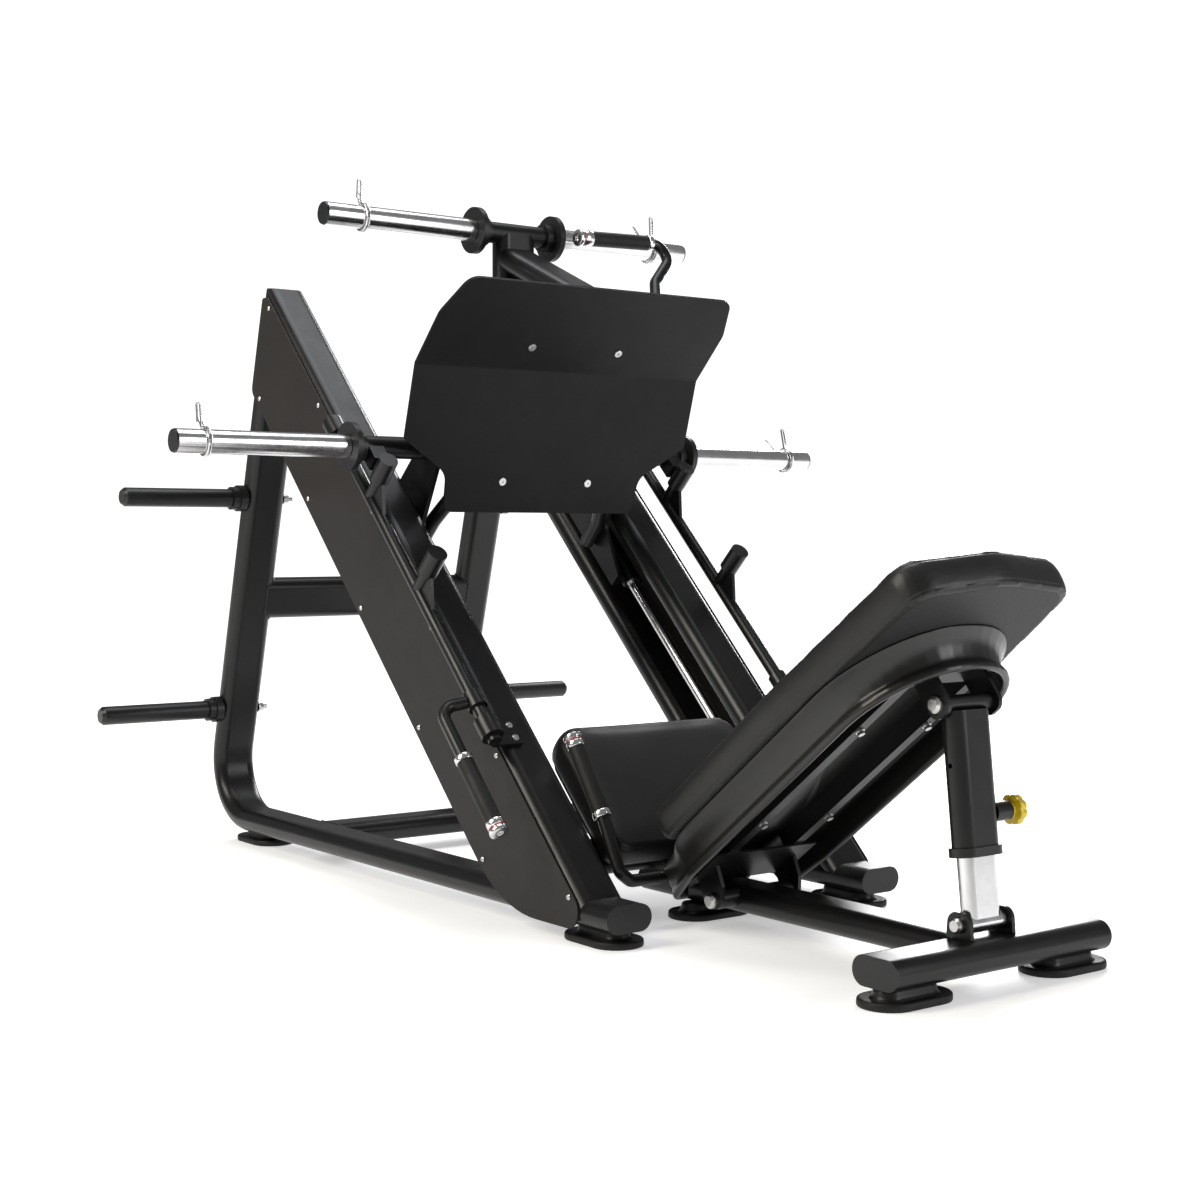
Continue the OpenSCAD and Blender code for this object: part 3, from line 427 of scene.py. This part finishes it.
def shell():
    """Tray with a rounded lip that flares toward the pad away from its low end."""
    ring = resample(rounded([(-67, -156), (-67, 156), (30, 179), (715, 179), (715, -179), (30, -179)],
                            [16, 16, 60, 169, 169, 60]), 0.004)
    out = outward(ring)
    end = np.clip((0.012 - ring[:, 0]) / 0.02, 0, 1) * np.clip((0.128 - np.abs(ring[:, 1])) / 0.02, 0, 1)
    lift = 0.040 * end * end * (3 - 2 * end)
    up = np.clip((ring[:, 0] + 0.01) / 0.11, 0, 1)
    up = up * up * (3 - 2 * up)
    # each row is the offset of the wall, how far it flares toward the pad, and its height
    profile = ((-20, 0, 81.7), (-6, 26, 81.6), (-4, 33, 80.8), (-3, 32.5, 78.6), (-2, 26, 74.5), (-1.5, 17, 68),
               (-1, 9, 59), (-1, 3.5, 49), (-1, 0.5, 39), (-0.5, -0.5, 32), (1.5, 0, 27), (3, 0, 21.5),
               (2.6, 0, 16), (0.5, 0, 12.8), (-4, 0, 11.8), (-8.5, 0, 12.8), (-11, 0, 17), (-11.5, 0, 26),
               (-12, 0, 44), (-14, 4, 60), (-20, 4, 70), (-34, 0, 76.5))
    rings = []
    for offset, flare, z in four_point(profile):
        share = np.clip((64 - z) / 52, 0, 1)
        wall = np.maximum((offset + flare * up) / 1000, -0.013 - 0.06 * up)
        rings.append(np.column_stack([ring + out * wall[:, None], np.full(len(ring), z / 1000) + lift * share]))
    verts, faces = strips(rings)
    o = piece("backrest_moulding", verts, faces, "backrest", "shell_plastic", BACK)
    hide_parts("backrest_shell")


shell()

# ---------------------------------------------------------------- grips

MATS["red_plastic"] = surface("red_plastic", (0.42, 0.012, 0.012), (0.5, 0.02, 0.018), (0.3, 0.4), tone=30)


def closed(profile):
    """Ring turned from a closed profile."""
    rings = lathe(profile)
    return strips(rings + [rings[0]], False, False)


def end_cap(length, pocket):
    """Turned chrome cap of a hand grip, from its tip at height 0, with a pocket for the bar."""
    return lathe([(0, 4), (6.6, 4), (7, 3.4), (7, 0.8), (7.8, 0.1), (17.2, 0), (18.5, 0.5), (19, 1.6),
                  (19, 7.6), (18.4, 9), (16.6, 10), (16.3, 11), (16.3, 14.6), (17.2, 15.4), (17.8, 16.6),
                  (17.8, length - 1.6), (17.2, length - 0.5), (16.2, length), (12.7, length), (12.7, pocket),
                  (0, pocket)])


RED_RING = [(16.2, 11.4), (16.8, 11.7), (16.8, 13.9), (16.2, 14.2)]
GRIP_RING = [(12.7, 0), (16.6, 0), (17.6, 0.5), (18.4, 2), (18.6, 5), (18.6, 9), (18.4, 12), (17.6, 13.5),
             (16.6, 14), (12.7, 14)]


def grip_trim(name, body, nodes_hidden, start, toward, cap_at, cap_sign, cap_length, pocket, ring_at, mirrored):
    """Cap with its red line at one end of a grip and a plain ring at the other."""
    base = along(Vector(start) / 1000, Vector(toward) / 1000)
    flip = Matrix.Identity(4) if cap_sign > 0 else Matrix.Rotation(math.pi, 4, "X")
    cap_m = base @ Matrix.Translation((0, 0, cap_at / 1000)) @ flip
    ring_m = base @ Matrix.Translation((0, 0, ring_at / 1000))
    cap = strips(end_cap(cap_length, pocket))
    parts = [(*cap, cap_m), (*closed(GRIP_RING), ring_m)]
    lines = [(*closed(RED_RING), cap_m)]
    if mirrored:
        parts += [(v, f, MIRROR @ m) for v, f, m in parts]
        lines += [(v, f, MIRROR @ m) for v, f, m in lines]
    o = piece(name, *join(parts), body, "chrome")
    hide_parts(*nodes_hidden)
    add_sharp(o)
    piece(name + "_line", *join(lines), body, "chrome", mat=MATS["red_plastic"])


def add_sharp(o, degrees=35):
    """Keeps edges steeper than the angle crisp."""
    bm = bmesh.new()
    bm.from_mesh(o.data)
    for e in bm.edges:
        e.smooth = len(e.link_faces) != 2 or e.calc_face_angle(0) < math.radians(degrees)
    bm.to_mesh(o.data)
    bm.free()


grip_trim("seat_grip_trim", "frame", ["seat_grip_rings"], (250, -252, 355), (348, -252, 211),
          -14, 1, 27.5, 13, 154.5, True)
for side, sign in (("left", -1), ("right", 1)):
    at = [RAIL @ Vector(q) for q in ((-84, sign * 478, 376.17), (78, sign * 478, 374.0))]
    grip_trim(f"stop_grip_trim_{side}", f"stop_{side}", [f"stop_grip_rings_{side}"], at[0], at[1],
              168.5, -1, 28, 6, -15, False)
grip_trim("carriage_grip_trim", "carriage", ["carriage_grip_rings"], (-196, 106, 1432), (-196, 356, 1440),
          -26, 1, 37.5, 25, 170.5, False)

# ---------------------------------------------------------------- feet, knob

def stadium(length, width, n=20):
    """Outline with straight sides and half-round ends."""
    r, half = width / 2, (length - width) / 2
    a = np.linspace(-math.pi / 2, math.pi / 2, n)
    right = np.stack([half + r * np.cos(a), r * np.sin(a)], 1)
    return np.vstack([right, -right])


FOOT_LENGTH, FOOT_WIDTH = 180, 104


def foot_rings(profile):
    """Rows of a foot, each an inset from its outline and a height, in millimetres."""
    rings = []
    for inset, z in profile:
        q = stadium(FOOT_LENGTH - 2 * inset, FOOT_WIDTH - 2 * inset) / 1000
        rings.append(np.column_stack([q, np.full(len(q), z / 1000)]))
    return strips(rings)


FEET = [(-0.988, 0.306, 0), (0.435, 0.318, 0), (1.093, 0.197, 90)]
spots = [Matrix.Translation((x, sy * y, 0)) @ Matrix.Rotation(math.radians(t), 4, "Z")
         for x, y, t in FEET for sy in (-1, 1)]
spots.append(Matrix.Translation((0.362, 0, 0)) @ Matrix.Rotation(math.radians(90), 4, "Z"))
sole = foot_rings([(3, 0), (1, 0.8), (0, 2.6), (0, 9), (0.6, 12), (2.4, 13.7), (5, 14.2), (10, 13.6),
                   (14, 12.6), (22, 12.4)])
boss = foot_rings([(20, 12.3), (21, 13.4), (24, 15.4), (25.4, 18), (26.2, 24), (27.4, 28),
                   (29.5, 30.2), (33, 30.9)])
o = piece("foot_soles", *join([(*sole, m) for m in spots]), "frame", "rubber")
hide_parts("foot_pads")
add_sharp(o, 50)
o = piece("foot_bosses", *join([(*boss, m) for m in spots]), "frame", "plastic_black")
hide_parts("foot_studs")
add_sharp(o, 50)


def knob():
    """Scalloped hand wheel; each row is radius, height and how deep the scallops cut."""
    a = np.linspace(0, 2 * math.pi, 128, endpoint=False)
    dip = np.exp(-(np.abs(np.remainder(a + math.pi / 8, math.pi / 4) - math.pi / 8) / 0.15) ** 2)
    rings = []
    for r, z, cut in ((4.9, 5.2, 0), (4.9, 0.6, 0), (5.6, 0, 0), (14.2, 0, 0), (15, 0.8, 0), (15, 5.4, 0),
                      (22, 6.2, 1.6), (25.6, 7.2, 2.4), (27, 9.4, 2.6), (27, 20.6, 2.6), (25.6, 22.8, 2.4),
                      (22, 23.8, 1.6), (16, 24, 0), (15.4, 26.6, 0), (13.8, 27.8, 0), (8, 28, 0)):
        radius = (r - cut * dip) / 1000
        rings.append(np.stack([radius * np.cos(a), radius * np.sin(a), np.full(len(a), z / 1000)], 1))
    m = STRUT @ Matrix.Translation((0, 0.088, 0.181)) @ Matrix.Rotation(math.radians(-90), 4, "X")
    o = piece("plunger_hand_knob", *strips(rings), "plunger", "yellow_plastic", m)
    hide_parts("plunger_knob")
    add_sharp(o, 40)


knob()

# ---------------------------------------------------------------- weld beads

def bead(points, radius):
    """Rippled weld bead along a closed path of points."""
    fine = resample3(points, radius * 0.55)
    n = len(fine)
    sides = 8
    verts, faces = [], []
    for i, q in enumerate(fine):
        t = (fine[(i + 1) % n] - fine[i - 1])
        t /= np.linalg.norm(t)
        u = np.cross(t, (0.3, 0.5, 0.81))
        u /= np.linalg.norm(u)
        w = np.cross(t, u)
        r = radius * (1 + 0.16 * math.sin(i * 1.35) + 0.05 * math.sin(i * 0.31))
        for k in range(sides):
            c = 2 * math.pi * k / sides
            verts.append(q + r * (math.cos(c) * u + math.sin(c) * w))
    for i in range(n):
        for k in range(sides):
            a0, a1 = i * sides + k, i * sides + (k + 1) % sides
            b0, b1 = (i + 1) % n * sides + k, (i + 1) % n * sides + (k + 1) % sides
            faces.append((a0, a1, b1, b0))
    return verts, faces


def resample3(points, step):
    """Closed path in space with points a fixed step apart."""
    p = np.vstack([points, points[:1]])
    run = np.concatenate([[0], np.cumsum(np.linalg.norm(np.diff(p, axis=0), axis=1))])
    t = np.linspace(0, run[-1], max(12, int(run[-1] / step)), endpoint=False)
    return np.stack([np.interp(t, run, p[:, i]) for i in range(3)], 1)


def surface_tree(node):
    """Search tree of a CAD node's faces, for rays."""
    return BVHTree.FromPolygons([v.co[:] for v in nodes[node].data.vertices],
                                [tuple(q.vertices) for q in nodes[node].data.polygons])


def weld_onto(node, outline, frame_at, direction, radius):
    """Path where an outline, pushed along a direction, first meets a node."""
    tree = surface_tree(node)
    path = []
    for q in outline:
        hit = tree.ray_cast(frame_at @ Vector((*q, 0)), direction)[0]
        if hit is not None:
            path.append(np.array(hit))
    return bead(np.array(path), radius)


IDENT = Matrix.Identity(4)
BEAD_RADIUS = 0.0026
# the tubes' flat oval, grown so that the bead sits just outside it
OVAL = stadium(104 + 3, 52 + 3) / 1000
beads = []
for sign, side in ((-1, "left"), (1, "right")):
    up = Vector((0, sign, 0))
    for at, turn in (((-1.023, 0, 0.606), 90 - 15.5), ((-0.685, 0, 0.057), 0)):
        m = turn_y(at, turn) @ Matrix.Rotation(math.radians(90), 4, "X")
        beads.append((*weld_onto(f"side_frame_{side}", OVAL, m, up, BEAD_RADIUS), IDENT))
quarter = math.radians(90)
m = Matrix.Translation((0.9, 0, 0.057)) @ Matrix.Rotation(quarter, 4, "Z") @ Matrix.Rotation(quarter, 4, "X")
beads.append((*weld_onto("front_beam", OVAL, m, Vector((1, 0, 0)), BEAD_RADIUS), IDENT))
piece("frame_weld_beads", *join(beads), "frame", "powder_black")

# ---------------------------------------------------------------- stage

def area(name, at, to, size, power, colour=(1, 1, 1)):
    """Soft box aimed at a point, in metres and watts."""
    light = bpy.data.lights.new(name, "AREA")
    light.shape = "RECTANGLE"
    light.size, light.size_y = size
    light.energy = power
    light.color = colour
    o = bpy.data.objects.new(name, light)
    o.location = at
    o.rotation_euler = (Vector(to) - Vector(at)).to_track_quat("-Z", "Y").to_euler()
    bpy.context.collection.objects.link(o)


area("key", (-0.4, -4.4, 3.6), (0, 0, 0.6), (1.4, 3.4), 190, (1, 0.95, 0.85))
area("top", (-0.6, 0.4, 4.8), (0, 0, 0.5), (2.6, 2.6), 90, (0.94, 0.96, 1))
area("rim", (-2.6, 4.0, 2.8), (0, 0, 0.7), (1.0, 3.4), 170)
area("front", (4.4, 1.9, 2.0), (0.3, 0, 0.5), (0.9, 2.6), 60)

# the room is dim for the machine and white behind it
world = bpy.data.worlds.new("world")
world.use_nodes = True
room = world.node_tree
room.nodes["Background"].inputs["Color"].default_value = (1, 1, 1, 1)
seen = room.nodes.new("ShaderNodeLightPath")
strength = room.nodes.new("ShaderNodeMapRange")
strength.inputs["To Min"].default_value = 0.22
strength.inputs["To Max"].default_value = 1.2
room.links.new(seen.outputs["Is Camera Ray"], strength.inputs["Value"])
room.links.new(strength.outputs["Result"], room.nodes["Background"].inputs["Strength"])
bpy.context.scene.world = world

floor_mesh = bpy.data.meshes.new("floor")
floor_mesh.from_pydata([(-30, -30, 0), (30, -30, 0), (30, 30, 0), (-30, 30, 0)], [], [(0, 1, 2, 3)])
floor = bpy.data.objects.new("floor", floor_mesh)
bpy.context.collection.objects.link(floor)
ground = surface("floor", (0.86, 0.86, 0.86), (0.9, 0.9, 0.9), (0.5, 0.6), tone=2, grain=200,
                 grain_depth=0.00002)
shader = ground.node_tree.nodes["Principled BSDF"]
shader.inputs["Emission Color"].default_value = (1, 1, 1, 1)
# the floor glows more with distance, so that it meets the white room without a line
away = ground.node_tree.nodes.new("ShaderNodeVectorMath")
away.operation = "LENGTH"
glow = ground.node_tree.nodes.new("ShaderNodeMapRange")
for key, value in (("From Min", 1.2), ("From Max", 4.5), ("To Min", 0.42), ("To Max", 1.0)):
    glow.inputs[key].default_value = value
places = next(q for q in ground.node_tree.nodes if q.bl_idname == "ShaderNodeTexCoord")
ground.node_tree.links.new(places.outputs["Object"], away.inputs[0])
ground.node_tree.links.new(away.outputs["Value"], glow.inputs["Value"])
ground.node_tree.links.new(glow.outputs["Result"], shader.inputs["Emission Strength"])
floor.data.materials.append(ground)
